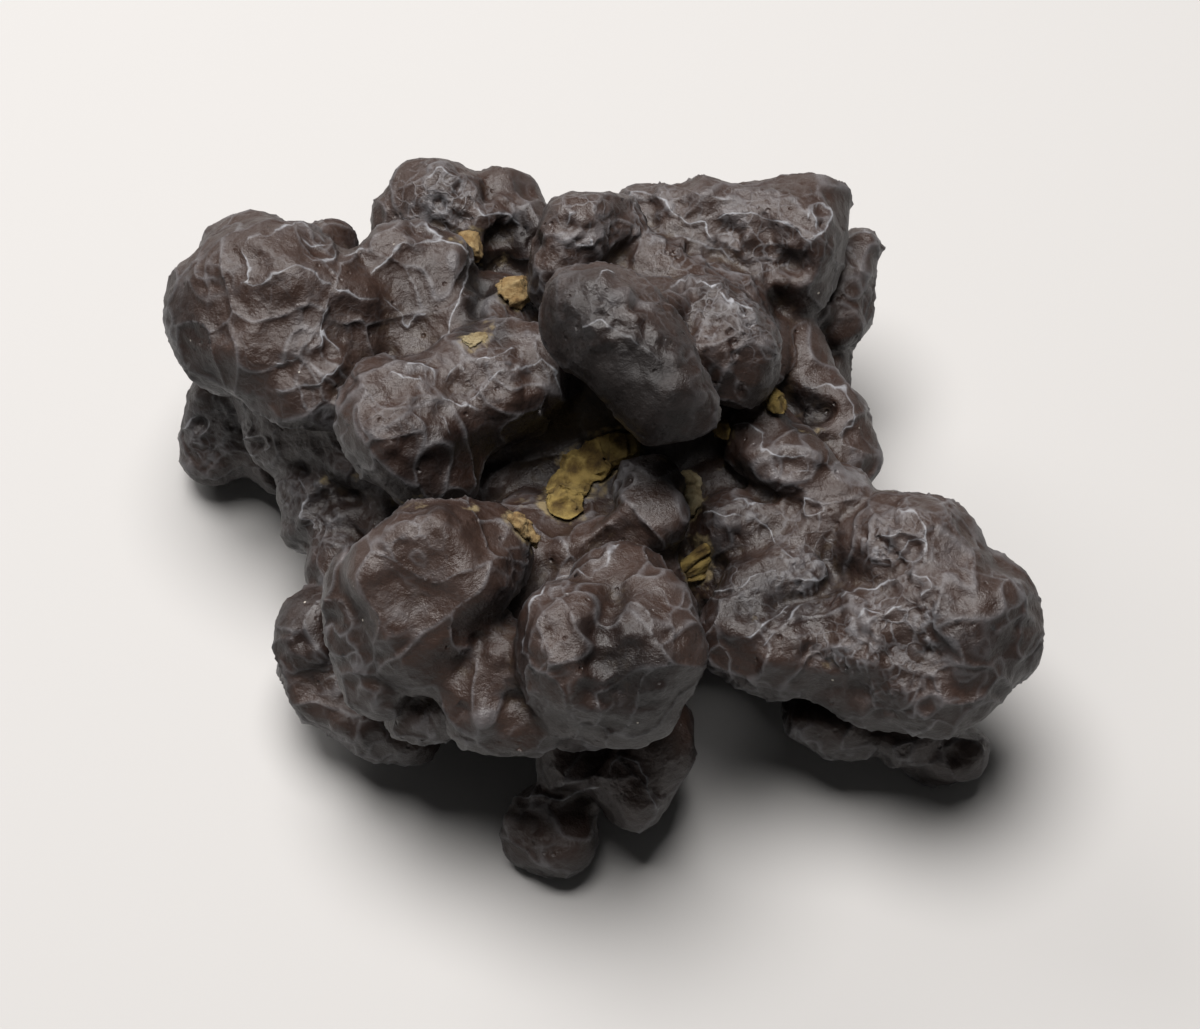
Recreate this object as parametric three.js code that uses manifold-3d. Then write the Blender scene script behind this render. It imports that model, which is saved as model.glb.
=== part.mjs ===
// A prophecy stone: a knobbly cluster of iron oxide lumps, with crumbs of pale chalk left in its hollows.
// Millimetres, +Z up, resting on its feet at z = 0.
import * as THREE from 'three';
import { ImprovedNoise } from 'three/addons/math/ImprovedNoise.js';
import { mergeVertices } from 'three/addons/utils/BufferGeometryUtils.js';
import Module from 'manifold-3d';

const wasm = await Module();
wasm.setup();

// Driving dimensions.
const clearance = 0.3; // between the stone and each crumb of chalk
const crumbDepth = 1.5; // half the depth of a crumb, most of it sunk in its crevice

// The eye that the visible lumps are placed by: it looks back and down at the stone's middle.
const eyeElevation = THREE.MathUtils.degToRad(60);
const eyeDistance = 215;
const aimHeight = 14;

// How finely the lobes are made, and how rough they are.
const edgeLength = 1.5;
const limbDetail = 2;
const ballDetail = 5;
const crumbDetail = 2;
const shortestStoneEdge = 1.02;
const shortestChalkEdge = 0.26;
const leastCosine = 0.35; // of the angle that a face may turn by when an edge beside it is closed up
const faceCount = 15;
const faceNearest = 0.8;
const faceFurthest = 1.05;
const blend = 0.45; // over which neighbouring lumps of one lobe run together
const fineBumpShare = 0.4; // of the coarse bumps' height
const fineBumpStep = 2.3; // how many times closer together the fine bumps are
const stoneBumps = { height: 0.55, size: 3.6 };
const chalkBumps = { height: 0.3, size: 1.1 };
const closingRounds = [0.3, 0.6, 1, 1]; // the shares of the shortest edge that are closed up in turn
const weldDistance = 1e-4;
const groundSize = 200;
const groundDepth = 20;

// Where the streams of numbers start that give each lump its own faces.
const lobeSeed = 101;
const lobeSeedStep = 37;
const lumpSeedStep = 7;
const pitSeed = 900;
const crumbSeed = 1300;
const crumbSeedStep = 11;

// What every lobe grows from: the middle of the stone.
const heart = new THREE.Vector3(1, 1.5, 10);

const sinEye = Math.sin(eyeElevation);
const cosEye = Math.cos(eyeElevation);
const eyeTurn = new THREE.Matrix4().makeRotationX(Math.PI / 2 - eyeElevation);
const noise = new ImprovedNoise();
const fineBumpShift = new THREE.Vector3(9, 0, 0);

// The point at this height that the eye sees this far across and up from the middle of its view.
function seenAt(across, up, height) {
  const h = height - aimHeight;
  const y = (up * (1 - (sinEye * h) / eyeDistance) - cosEye * h) / (sinEye - (cosEye * up) / eyeDistance);
  const nearer = (sinEye * h - cosEye * y) / eyeDistance;
  return new THREE.Vector3(across * (1 - nearer), y, height);
}

// A repeatable stream of numbers from 0 to 1.
function numbersFrom(seed) {
  let state = seed;
  return () => {
    state = (state + 0x6d2b79f5) | 0;
    let t = Math.imul(state ^ (state >>> 15), 1 | state);
    t = (t + Math.imul(t ^ (t >>> 7), 61 | t)) ^ t;
    return ((t ^ (t >>> 14)) >>> 0) / 4294967296;
  };
}

// The worn crystal faces of one lump: directions, and how far out each face lies.
function crystalFaces(seed) {
  const next = numbersFrom(seed);
  return Array.from({ length: faceCount }, () => {
    const z = 2 * next() - 1;
    const turn = 2 * Math.PI * next();
    const ring = Math.sqrt(1 - z * z);
    const towards = new THREE.Vector3(ring * Math.cos(turn), ring * Math.sin(turn), z);
    return { towards, out: THREE.MathUtils.lerp(faceNearest, faceFurthest, next()) };
  });
}

// A lump: a ball stretched to its three half-widths and turned, then cut by its worn crystal faces.
function makeLump({ centre, frame, size, turn, flats }, seed) {
  const toPlace = frame.clone();
  toPlace.multiply(new THREE.Matrix4().makeRotationZ(THREE.MathUtils.degToRad(turn)));
  toPlace.scale(new THREE.Vector3(...size));
  toPlace.setPosition(centre);
  const own = flats.map(([x, y, z, out]) => ({ towards: new THREE.Vector3(x, y, z).normalize(), out }));
  return { centre, size, toBall: toPlace.invert(), faces: [...crystalFaces(seed), ...own] };
}

// A lump where the eye sees it, with half-widths across, up and towards the eye.
function seen([across, up, height], size, turn = 0, flats = []) {
  return { centre: seenAt(across, up, height), frame: eyeTurn, size, turn, flats };
}

// A lump by x, y and z, with half-widths along them.
function upright(at, size, turn = 0, flats = []) {
  return { centre: new THREE.Vector3(...at), frame: new THREE.Matrix4(), size, turn, flats };
}

// How far along a ray the lump is left again, or 0 where the ray misses it.
function wayOut(lump, from, direction) {
  const p = from.clone().applyMatrix4(lump.toBall);
  const d = from.clone().add(direction).applyMatrix4(lump.toBall).sub(p);
  const a = d.dot(d);
  const b = p.dot(d);
  const inside = b * b - a * (p.dot(p) - 1);
  if (inside <= 0) {
    return 0;
  }
  let near = (-b - Math.sqrt(inside)) / a;
  let far = (-b + Math.sqrt(inside)) / a;
  for (const face of lump.faces) {
    const facing = face.towards.dot(d);
    const reached = (face.out - face.towards.dot(p)) / facing;
    if (facing > 0) {
      far = Math.min(far, reached);
    } else {
      near = Math.max(near, reached);
    }
  }
  return far > near ? Math.max(0, far) : 0;
}

function bump(p, { height, size }) {
  const q = p.clone().divideScalar(size);
  const r = q.clone().multiplyScalar(fineBumpStep).add(fineBumpShift);
  return height * (noise.noise(q.x, q.y, q.z) + fineBumpShare * noise.noise(r.x, r.y, r.z));
}

// Moves every vertex of a ball out from the middle, to the distance given for its direction.
function shaped(ball, middle, bumps, distanceTo) {
  const positions = ball.getAttribute('position');
  const out = new THREE.Vector3();
  for (let i = 0; i < positions.count; i++) {
    out.fromBufferAttribute(positions, i).normalize();
    const p = middle.clone().addScaledVector(out, distanceTo(out));
    p.addScaledVector(out, bump(p, bumps));
    positions.setXYZ(i, p.x, p.y, p.z);
  }
  return ball;
}

// A lobe: one skin drawn round lumps that have run together.
function lobeGeometry(lumps, bumps, detail) {
  const volumes = lumps.map((l) => l.size[0] * l.size[1] * l.size[2]);
  const whole = volumes.reduce((a, b) => a + b);
  const middle = new THREE.Vector3();
  lumps.forEach((l, i) => middle.addScaledVector(l.centre, volumes[i] / whole));
  const reach = Math.max(...lumps.map((l) => l.centre.distanceTo(middle) + 0.8 * Math.max(...l.size)));
  const steps = detail ?? Math.max(2, Math.round(reach / edgeLength));
  return shaped(new THREE.IcosahedronGeometry(1, steps), middle, bumps, (out) => {
    const total = lumps.reduce((sum, lump) => sum + Math.exp(wayOut(lump, middle, out) / blend), 0);
    return blend * Math.log(total);
  });
}

// A limb that runs out from the middle of the stone: a thick stalk, rounded at its ends.
function limbGeometry({ end, thickness }) {
  const middle = new THREE.Vector3(...end);
  const reach = heart.clone().sub(middle);
  const half = reach.length() / 2 + 0.7 * thickness;
  const along = reach.clone().normalize();
  const centre = middle.clone().addScaledVector(reach, 0.5);
  return shaped(new THREE.IcosahedronGeometry(1, limbDetail), centre, stoneBumps, (out) => {
    const lengthwise = out.dot(along);
    const sideways = Math.sqrt(Math.max(0, 1 - lengthwise * lengthwise));
    return 1 / Math.hypot(lengthwise / half, sideways / thickness);
  });
}

// A closed geometry as a solid that can be joined and cut.
function solid(geometry) {
  const bare = geometry.clone();
  bare.deleteAttribute('normal');
  bare.deleteAttribute('uv');
  const merged = mergeVertices(bare, weldDistance);
  return new wasm.Manifold(
    new wasm.Mesh({
      numProp: 3,
      vertProperties: merged.getAttribute('position').array,
      triVerts: new Uint32Array(merged.index.array),
    }),
  );
}

function geometryOf(made) {
  const mesh = made.getMesh();
  const places = new Float32Array(mesh.numVert * 3);
  for (let i = 0; i < mesh.numVert; i++) {
    places.set(mesh.vertProperties.subarray(i * mesh.numProp, i * mesh.numProp + 3), i * 3);
  }
  const geometry = new THREE.BufferGeometry();
  geometry.setAttribute('position', new THREE.BufferAttribute(places, 3));
  geometry.setIndex(new THREE.BufferAttribute(new Uint32Array(mesh.triVerts), 1));
  geometry.computeVertexNormals();
  return geometry;
}

// A skin as points, triangles and, for each point, the triangles around it.
function openMesh(geometry) {
  const positions = geometry.getAttribute('position');
  const index = [...geometry.index.array];
  const pointAt = (i) => new THREE.Vector3().fromBufferAttribute(positions, i);
  const points = Array.from({ length: positions.count }, (_, i) => pointAt(i));
  const triangles = Array.from({ length: index.length / 3 }, (_, i) => index.slice(3 * i, 3 * i + 3));
  const around = points.map(() => new Set());
  triangles.forEach((triangle, i) => triangle.forEach((v) => around[v].add(i)));
  return { points, triangles, around };
}

function neighbours({ triangles, around }, v) {
  return new Set([...around[v]].flatMap((i) => triangles[i]).filter((w) => w !== v));
}

function normalOf({ points, triangles }, i) {
  const [a, b, c] = triangles[i].map((v) => points[v]);
  return b.clone().sub(a).cross(c.clone().sub(a)).normalize();
}

// Whether points a and b can meet half way without folding the skin over or pinching it. If so, they do.
function moveTogether(mesh, a, b) {
  const { points, triangles, around } = mesh;
  const nearB = neighbours(mesh, b);
  const shared = [...neighbours(mesh, a)].filter((v) => nearB.has(v));
  const between = (i) => triangles[i].includes(a) && triangles[i].includes(b);
  const kept = [...around[a], ...around[b]].filter((i) => !between(i));
  const before = kept.map((i) => normalOf(mesh, i));
  const places = [points[a].clone(), points[b].clone()];
  points[a].lerp(points[b], 0.5);
  points[b].copy(points[a]);
  const folded = kept.some((i, k) => normalOf(mesh, i).dot(before[k]) < leastCosine);
  if (shared.length !== 2 || folded) {
    points[a].copy(places[0]);
    points[b].copy(places[1]);
    return false;
  }
  return true;
}

function closeEdge(mesh, a, b) {
  const { triangles, around } = mesh;
  if (!moveTogether(mesh, a, b)) {
    return;
  }
  for (const i of around[b]) {
    if (triangles[i].includes(a)) {
      triangles[i].forEach((v) => v !== b && around[v].delete(i));
      triangles[i] = [];
    } else {
      triangles[i] = triangles[i].map((v) => (v === b ? a : v));
      around[a].add(i);
    }
  }
  around[b].clear();
}

// The skin with its short edges closed up, the shortest ones first.
function withoutShortEdges(geometry, shortest) {
  const mesh = openMesh(geometry);
  const { points, around } = mesh;
  for (const limit of closingRounds.map((share) => share * shortest)) {
    for (let a = 0; a < points.length; a++) {
      for (const b of neighbours(mesh, a)) {
        if (around[a].size && around[b].size && points[a].distanceTo(points[b]) < limit) {
          closeEdge(mesh, a, b);
        }
      }
    }
  }
  const corners = mesh.triangles.flat().flatMap((v) => points[v].toArray());
  const closed = new THREE.BufferGeometry();
  closed.setAttribute('position', new THREE.Float32BufferAttribute(corners, 3));
  return mergeVertices(closed, weldDistance);
}

function largestPiece(made) {
  return made.decompose().reduce((a, b) => (a.volume() > b.volume() ? a : b));
}

// The lobes, each one skin over the lumps that have run together in it.
const lobes = [
  {
    name: 'left head',
    lumps: [
      seen([-21.3, 13.0, 19], [5.9, 6.0, 5.6]),
      seen([-25.0, 12.8, 17.5], [3.0, 4.2, 3.8], 8),
      seen([-22.6, 16.0, 18], [4.0, 3.3, 3.8]),
      seen([-16.6, 12.6, 18.5], [4.0, 4.2, 4.4]),
      seen([-18.6, 8.8, 17.5], [4.4, 3.8, 4.4], -10),
      seen([-17.6, 17.0, 18], [2.2, 2.1, 2.6]),
    ],
  },
  {
    name: 'square neighbour of the left head',
    lumps: [seen([-12.2, 14.5, 18.6], [4.6, 4.6, 5.0], -20, [[0.1, 0.1, 1, 0.62], [1, 0.2, 0.3, 0.72]])],
  },
  {
    name: 'low knob at the left',
    lumps: [
      seen([-24.4, 4.5, 2.9], [3.1, 2.9, 3.6]),
      seen([-21.8, 4.7, 4.6], [2.2, 2.1, 2.8]),
      seen([-24.9, 7.4, 6.6], [2.0, 2.6, 2.6]),
      seen([-23.2, 7.0, 6.4], [2.0, 2.2, 2.6]),
      seen([-21.0, 2.7, 4.4], [1.7, 1.5, 2.2]),
    ],
  },
  {
    name: 'shoulder',
    lumps: [
      seen([-12.7, 5.6, 20], [4.1, 4.9, 4.6], 12),
      seen([-10.8, 2.8, 18.4], [3.0, 2.6, 3.0]),
      seen([-10.0, 6.0, 19.4], [3.4, 3.6, 4.0], 12, [[0, 0.2, 1, 0.8]]),
    ],
  },
  {
    name: 'top of the dark wall',
    lumps: [
      seen([-8.6, 7.6, 19.8], [4.6, 3.7, 4.2], 10, [[0, 0.3, 1, 0.75]]),
      seen([-4.8, 8.8, 19.5], [3.9, 3.3, 3.8], 20, [[0, 0.3, 1, 0.75]]),
      upright([-6.4, 7.4, 16.8], [5.4, 4.2, 5.4], 0, [[0, -1, 0, 0.8]]),
    ],
  },
  {
    name: 'dark wall of the hollow',
    lumps: [
      upright([0.4, 8.4, 16], [5.4, 4.6, 5.6], 0, [[0, -1, 0, 0.8]]),
      upright([-4, 8, 14], [5, 4.6, 5]),
    ],
  },
  {
    name: 'left lump at the back',
    lumps: [
      seen([-10.6, 20.0, 17], [3.5, 3.2, 3.6]),
      seen([-8.4, 18.4, 16.6], [3.0, 2.8, 3.4]),
      seen([-13.2, 18.8, 15.4], [2.1, 1.9, 2.6]),
    ],
  },
  {
    name: 'right lump at the back',
    lumps: [
      seen([-6.0, 20.3, 15.8], [2.6, 2.7, 3.2], -35),
      seen([-4.9, 18.0, 15.6], [2.3, 2.8, 3.0]),
    ],
  },
  {
    name: 'egg at the top',
    lumps: [
      seen([-0.3, 13.2, 27], [3.7, 3.5, 3.6]),
      seen([1.8, 11.0, 27], [4.4, 3.7, 3.8], -48),
      seen([4.2, 7.6, 26], [3.8, 3.1, 3.5], -55),
      upright([3, 9, 22.5], [3.2, 3.2, 4]),
    ],
  },
  {
    name: 'lump behind the egg',
    lumps: [
      seen([-1.6, 18.0, 23], [2.9, 2.7, 3.2], 20),
      seen([0.7, 18.4, 22], [2.2, 2.4, 2.8]),
      seen([-2.5, 15.6, 21.5], [2.2, 3.2, 3.4]),
    ],
  },
  {
    name: 'lump beside the egg',
    lumps: [
      seen([8.4, 10.8, 22.8], [3.7, 4.0, 4.0], 10),
      seen([6.8, 12.8, 22], [3.0, 2.8, 3.4], -35),
    ],
  },
  {
    name: 'low saddle between the egg and the block',
    lumps: [
      seen([3.8, 15.8, 20.6], [3.0, 2.2, 3.0], -40),
      seen([6.4, 14.2, 20.4], [2.6, 2.2, 3.0], -40),
    ],
  },
  {
    name: 'left end of the block at the back',
    lumps: [
      seen([6.4, 18.4, 18.8], [4.6, 3.3, 4.0], 4, [[0, 0.1, 1, 0.75]]),
      seen([3.1, 19.4, 18.2], [2.2, 2.0, 2.8]),
    ],
  },
  {
    name: 'right end of the block at the back',
    lumps: [
      seen([11.0, 18.2, 19], [4.6, 4.0, 4.4], 6, [[-0.1, 0.1, 1, 0.75]]),
      seen([12.6, 16.6, 18], [3.3, 3.9, 4.0], 0, [[1, -0.1, 0.4, 0.8]]),
      seen([13.9, 20.1, 18.8], [2.2, 2.2, 2.6]),
    ],
  },
  { name: 'lump under the block', lumps: [seen([11.4, 14.4, 16], [2.8, 2.8, 3.4])] },
  {
    name: 'bar behind the block',
    lumps: [
      seen([16.8, 17.4, 14], [1.5, 1.5, 2.2]),
      seen([15.9, 15.4, 13.5], [1.7, 3.2, 2.8], -26),
      seen([15.0, 12.4, 12.5], [1.9, 2.3, 2.6]),
    ],
  },
  { name: 'root of the bar', lumps: [upright([12.5, 17.5, 12], [4, 3.6, 4])] },
  {
    name: 'upper right flank',
    lumps: [
      seen([12.7, 9.2, 13.8], [2.5, 3.1, 3.2], 8),
      seen([14.4, 6.0, 14], [2.9, 2.8, 3.2]),
      seen([16.0, 3.8, 13], [2.0, 2.4, 2.8], 25),
    ],
  },
  {
    name: 'rim in front of the crater',
    lumps: [
      seen([10.4, 5.4, 16.8], [2.9, 2.2, 3.0], -8),
      seen([12.2, 3.2, 16.8], [3.4, 2.2, 3.4], 0, [[0, 0.3, 1, 0.8]]),
    ],
  },
  {
    name: 'ledge on the right flank',
    lumps: [
      seen([15.0, 0.8, 15.5], [3.6, 2.5, 3.4], -12),
      seen([11.6, -0.6, 15], [2.8, 1.8, 2.8]),
    ],
  },
  {
    name: 'upper fold of the wrinkled arm',
    lumps: [
      seen([8.6, -1.2, 14.5], [2.9, 2.6, 3.0], 15),
      seen([11.0, -4.2, 14.8], [4.2, 2.4, 3.4], 22),
      seen([13.6, -1.6, 14.6], [3.4, 1.8, 3.0], -10),
    ],
  },
  {
    name: 'lower fold of the wrinkled arm',
    lumps: [
      seen([9.4, -7.2, 14], [3.4, 3.0, 3.6], 24),
      seen([12.4, -8.6, 13.4], [3.8, 3.0, 3.8], 30),
    ],
  },
  {
    name: 'right head',
    lumps: [
      seen([19.9, -3.3, 15], [5.1, 5.1, 5.2]),
      seen([22.6, -6.8, 14.5], [5.4, 5.4, 5.4], -20),
      seen([17.8, -8.8, 13.5], [4.8, 4.6, 4.6]),
      seen([22.0, -10.6, 12.8], [4.6, 3.6, 4.2], 18),
      seen([25.4, -7.6, 13], [2.8, 3.8, 3.6]),
    ],
  },
  {
    name: 'right lump of the front pair',
    lumps: [
      seen([-1.6, -8.6, 21.5], [3.5, 4.4, 4.0], 4),
      seen([3.1, -8.4, 21.5], [3.6, 4.4, 4.2], -6),
      seen([1.4, -4.8, 20.5], [3.2, 2.7, 3.4]),
      seen([0.6, -11.6, 18.5], [4.8, 3.6, 4.4]),
    ],
  },
  {
    name: 'climb from the front pair to the egg',
    lumps: [
      seen([3.2, -0.4, 17.8], [2.7, 2.4, 3.0], 8, [[0, 0.3, 1, 0.8]]),
      seen([3.0, 1.8, 17], [2.6, 2.2, 2.8]),
      seen([-1.8, -2.4, 16.8], [2.4, 1.7, 2.4]),
    ],
  },
  {
    name: 'left lump of the front pair',
    lumps: [
      seen([-11.0, -3.8, 21.6], [5.1, 4.6, 4.8], 10, [[-0.1, -0.1, 1, 0.72]]),
      seen([-8.0, -2.2, 20.5], [3.4, 2.9, 3.4], -30),
      seen([-11.0, -8.0, 18.2], [4.6, 3.4, 4.2]),
    ],
  },
  {
    name: 'step below the left lump',
    lumps: [
      seen([-15.0, -6.6, 17.6], [3.0, 4.6, 3.8], 14),
      seen([-14.0, -10.2, 14.6], [3.0, 3.0, 3.6], 30),
    ],
  },
  {
    name: 'wedge and knob between the front pair',
    lumps: [
      seen([-6.4, -9.0, 18.3], [2.1, 3.0, 2.6], 18),
      seen([-7.7, -12.4, 16.5], [2.8, 3.0, 2.9], 20),
      seen([-4.6, -13.0, 15.2], [3.4, 2.8, 3.2]),
      seen([-11.0, -11.8, 12.5], [3.4, 3.0, 3.4]),
    ],
  },
  {
    name: 'wrinkled flank at the front left',
    lumps: [
      seen([-17.7, 0.9, 9], [3.0, 3.2, 3.2]),
      seen([-19.0, -1.4, 7.5], [1.8, 1.9, 2.2]),
      seen([-16.4, 3.6, 11], [2.6, 2.4, 2.8]),
      seen([-16.8, -3.4, 9], [2.5, 2.3, 2.6]),
    ],
  },
  {
    name: 'low flank at the front left',
    lumps: [
      seen([-18.4, -7.7, 7.5], [2.7, 3.4, 3.4], -18),
      seen([-17.4, -11.0, 5.9], [3.3, 3.1, 3.4], -20),
      seen([-14.4, -13.2, 4.9], [3.6, 2.6, 3.4], -14),
      seen([-11.8, -14.0, 5.2], [2.0, 2.0, 2.8]),
    ],
  },
  {
    name: 'front foot',
    lumps: [seen([-3.1, -20.2, 2.9], [3.3, 3.3, 3.4], 0, [[0.1, 0.35, 1, 0.72], [1, 0.5, 0.2, 0.78]])],
  },
  {
    name: 'second front foot',
    lumps: [
      seen([2.3, -17.2, 6.4], [2.9, 3.7, 3.4], -12, [[0.8, 0.1, 1, 0.7]]),
      seen([3.8, -14.6, 8], [2.5, 3.4, 3.6], -14),
    ],
  },
  {
    name: 'right foot',
    lumps: [
      seen([22.4, -15.4, 2.7], [3.1, 2.2, 3.2], 22),
      seen([19.6, -14.0, 5], [2.8, 2.2, 3.2]),
    ],
  },
  { name: 'dark lump under the right head', lumps: [seen([14.8, -13.4, 6.2], [3.2, 2.2, 3.2], -14)] },
  { name: 'left flank, out of sight', lumps: [upright([-19.5, 10.5, 10.5], [5.2, 5, 4.4])] },
  {
    name: 'back flank, out of sight',
    lumps: [
      upright([-11, 17, 9.5], [5.4, 4.6, 4.8]),
      upright([-7, 19.5, 12], [4, 3.4, 4]),
    ],
  },
  {
    name: 'back lobe, out of sight',
    lumps: [
      upright([2.5, 17.5, 11], [5.6, 4.6, 5.4]),
      upright([-2.2, 16.5, 13.5], [3.6, 3.8, 4]),
    ],
  },
  { name: 'right flank, out of sight', lumps: [upright([13, 5.5, 9], [4.4, 5, 4.6])] },
  {
    name: 'back right lobe, out of sight',
    lumps: [
      upright([12.5, 14.5, 8.8], [5, 4.6, 4.8]),
      upright([15, 18, 12], [3.4, 3.4, 4]),
    ],
  },
  {
    name: 'back foot',
    lumps: [
      upright([5.5, 15.2, 3.5], [3.8, 3.4, 3.9]),
      upright([2.2, 12.8, 5.2], [3.6, 3.2, 3.8]),
    ],
  },
  { name: 'dark lobe behind the left flank', lumps: [upright([-13.6, 1.8, 9.2], [3.8, 3.8, 4])] },
  { name: 'lobe under the left side', lumps: [upright([-10, 5, 5.6], [5.2, 5, 4.2])] },
  { name: 'lobe under the middle', lumps: [upright([1.5, -3.5, 5.4], [5.4, 4.8, 4])] },
  { name: 'lobe under the right side', lumps: [upright([11.5, 0.5, 6.2], [5.2, 5, 4.2])] },
  { name: 'lobe under the front left', lumps: [upright([-8, -8, 8], [5, 4.2, 4.4])] },
];

// The limbs under the lobes, which the eye can't see: the far end of each, by x, y and z.
const limbs = [
  { end: [-22, 10, 12], thickness: 5 },
  { end: [-23, 11, 5.5], thickness: 3 },
  { end: [-9, 20, 13], thickness: 4.2 },
  { end: [12, 17, 14], thickness: 5.5 },
  { end: [17, 19, 9], thickness: 2.6 },
  { end: [15, 3, 12], thickness: 4.5 },
  { end: [20, -7, 11], thickness: 5 },
  { end: [20, -11, 4.5], thickness: 3 },
  { end: [-9, -9, 14], thickness: 5.5 },
  { end: [-1, -13, 14], thickness: 6 },
  { end: [-2, -16, 6], thickness: 3.6 },
  { end: [-16, -5, 7], thickness: 4.2 },
];

// Lobes that the eye can't see: the heart of the stone, and the back down to its foot.
const hiddenBalls = [
  { at: [1, 3, 9.5], size: [12, 10, 6] },
  { at: [4, 11.5, 15.5], size: [8.5, 6.5, 7.5] },
  { at: [-9, 11, 14], size: [8, 7, 6.5] },
  { at: [7, 16, 4.2], size: [4.6, 3.6, 4.6] },
];

// The crumbs of chalk, where the eye sees them: across and up, then half-widths across and up, and a turn.
const crumbs = [
  { name: 'chalk_seam_at_the_back', parts: [[-9.7, 18.0, 0.9, 0.6, 0], [-8.4, 17.4, 1.0, 0.7, -35]] },
  { name: 'chalk_lump_at_the_back', parts: [[-5.7, 14.2, 1.15, 1.2, 10]] },
  { name: 'chalk_lip', parts: [[-8.1, 11.4, 1.05, 0.55, 15]] },
  {
    name: 'chalk_in_the_hollow',
    parts: [
      [1.1, 3.9, 1.2, 1.1, 10],
      [-0.3, 3.2, 1.3, 1.0, 25],
      [-1.5, 2.7, 1.3, 1.1, 20],
      [-2.0, 1.6, 1.1, 1.2, 0],
      [-2.3, 0.6, 1.1, 0.9, 0],
    ],
  },
  { name: 'chalk_at_the_front', parts: [[-5.1, -0.9, 1.4, 0.85, -35]] },
  { name: 'chalk_in_the_crater', parts: [[11.4, 6.9, 0.75, 0.85, 0]] },
  { name: 'chalk_in_the_upper_crack', parts: [[7.9, 5.4, 0.55, 0.8, 0], [7.8, 4.3, 0.55, 0.7, 0]] },
  { name: 'chalk_in_the_middle_crack', parts: [[5.8, 1.7, 0.7, 1.0, 5], [6.0, 0.5, 0.6, 0.9, 5]] },
  { name: 'chalk_in_the_lower_crack', parts: [[6.3, -3.1, 0.55, 1.25, 0]] },
];

// The small hollows that break the lumps' skin: across and up where the eye sees them, and how wide.
const pits = [
  { at: [14.0, 7.1], size: [1.3, 1.0] },
  { at: [12.3, 16.2], size: [1.1, 0.9] },
  { at: [-6.2, 17.9], size: [1.5, 1.1] },
];

function lobeSolid({ lumps }, index) {
  const seed = lobeSeed + lobeSeedStep * index;
  return solid(lobeGeometry(lumps.map((lump, i) => makeLump(lump, seed + lumpSeedStep * i)), stoneBumps));
}

function ballSolid({ at, size }) {
  const ball = new THREE.IcosahedronGeometry(1, ballDetail);
  return solid(
    shaped(ball, new THREE.Vector3(...at), stoneBumps, (out) =>
      1 / Math.hypot(out.x / size[0], out.y / size[1], out.z / size[2]),
    ),
  );
}

function joinedLobes() {
  const parts = [
    ...hiddenBalls.map(ballSolid),
    ...limbs.map((limb) => solid(limbGeometry(limb))),
    ...lobes.map(lobeSolid),
  ];
  return largestPiece(parts.reduce((a, b) => a.add(b)));
}

// Where the eye's line across and up from the middle of its view first meets the skin.
function meets(skin, across, up) {
  const eye = new THREE.Vector3(0, -cosEye * eyeDistance, aimHeight + sinEye * eyeDistance);
  const line = seenAt(across, up, aimHeight).sub(eye).normalize();
  return new THREE.Raycaster(eye, line).intersectObject(new THREE.Mesh(skin))[0].point;
}

function smallLump(skin, [across, up], [wide, high, deep], turn, seed) {
  const centre = meets(skin, across, up);
  return makeLump({ centre, frame: eyeTurn, size: [wide, high, deep], turn, flats: [] }, seed);
}

function pitSolid(skin, { at, size }, index) {
  const lump = smallLump(skin, at, [...size, size[1]], 0, pitSeed + index);
  return solid(lobeGeometry([lump], chalkBumps, crumbDetail));
}

// The stone: the joined lobes, with its pits, and with its feet worn flat where they reach the ground.
function stoneSolid() {
  const whole = withoutShortEdges(geometryOf(joinedLobes()), shortestStoneEdge);
  const box = new THREE.BoxGeometry(groundSize, groundSize, groundDepth);
  const ground = solid(box.translate(0, 0, -groundDepth / 2));
  const cuts = pits.map((pit, i) => pitSolid(whole, pit, i)).reduce((a, b) => a.add(b), ground);
  return largestPiece(solid(whole).subtract(cuts));
}

// The room that the stone takes up with its clearance: its skin moved each way along the three axes.
function keptClear(skin) {
  const step = 1.5 * clearance;
  const ways = [[step, 0, 0], [-step, 0, 0], [0, step, 0], [0, -step, 0], [0, 0, step], [0, 0, -step]];
  return ways.map((way) => solid(skin.clone().translate(...way))).reduce((a, b) => a.add(b));
}

function crumbSolid(skin, room, { parts }, index) {
  const seed = crumbSeed + crumbSeedStep * index;
  const pieces = parts.map(([across, up, wide, high, turn], i) => {
    const lump = smallLump(skin, [across, up], [wide, high, crumbDepth], turn, seed + i);
    return solid(lobeGeometry([lump], chalkBumps, crumbDetail));
  });
  const cut = largestPiece(pieces.reduce((a, b) => a.add(b)).subtract(room));
  return largestPiece(solid(withoutShortEdges(geometryOf(cut), shortestChalkEdge)));
}

function stoneMaterial() {
  return new THREE.MeshStandardMaterial({ color: 0x3a302e, roughness: 0.45, metalness: 0.1 });
}

function chalkMaterial() {
  return new THREE.MeshStandardMaterial({ color: 0xbfa66f, roughness: 0.9, metalness: 0 });
}

function named(name, geometry, material) {
  const mesh = new THREE.Mesh(geometry, material);
  mesh.name = name;
  return mesh;
}

const skin = geometryOf(stoneSolid());
const room = keptClear(skin);

// Everything is moved so that the middle of the stone's bounding box is over the origin.
const group = new THREE.Group();
skin.computeBoundingBox();
const middle = skin.boundingBox.getCenter(new THREE.Vector3());
group.position.set(-middle.x, -middle.y, 0);
group.add(named('stone', skin, stoneMaterial()));
crumbs.forEach((crumb, i) => {
  group.add(named(crumb.name, geometryOf(crumbSolid(skin, room, crumb, i)), chalkMaterial()));
});

export default group;
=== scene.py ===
import bpy
import bmesh
import math
import numpy as np
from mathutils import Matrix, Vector, noise
from mathutils.bvhtree import BVHTree
from mathutils.kdtree import KDTree


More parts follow.
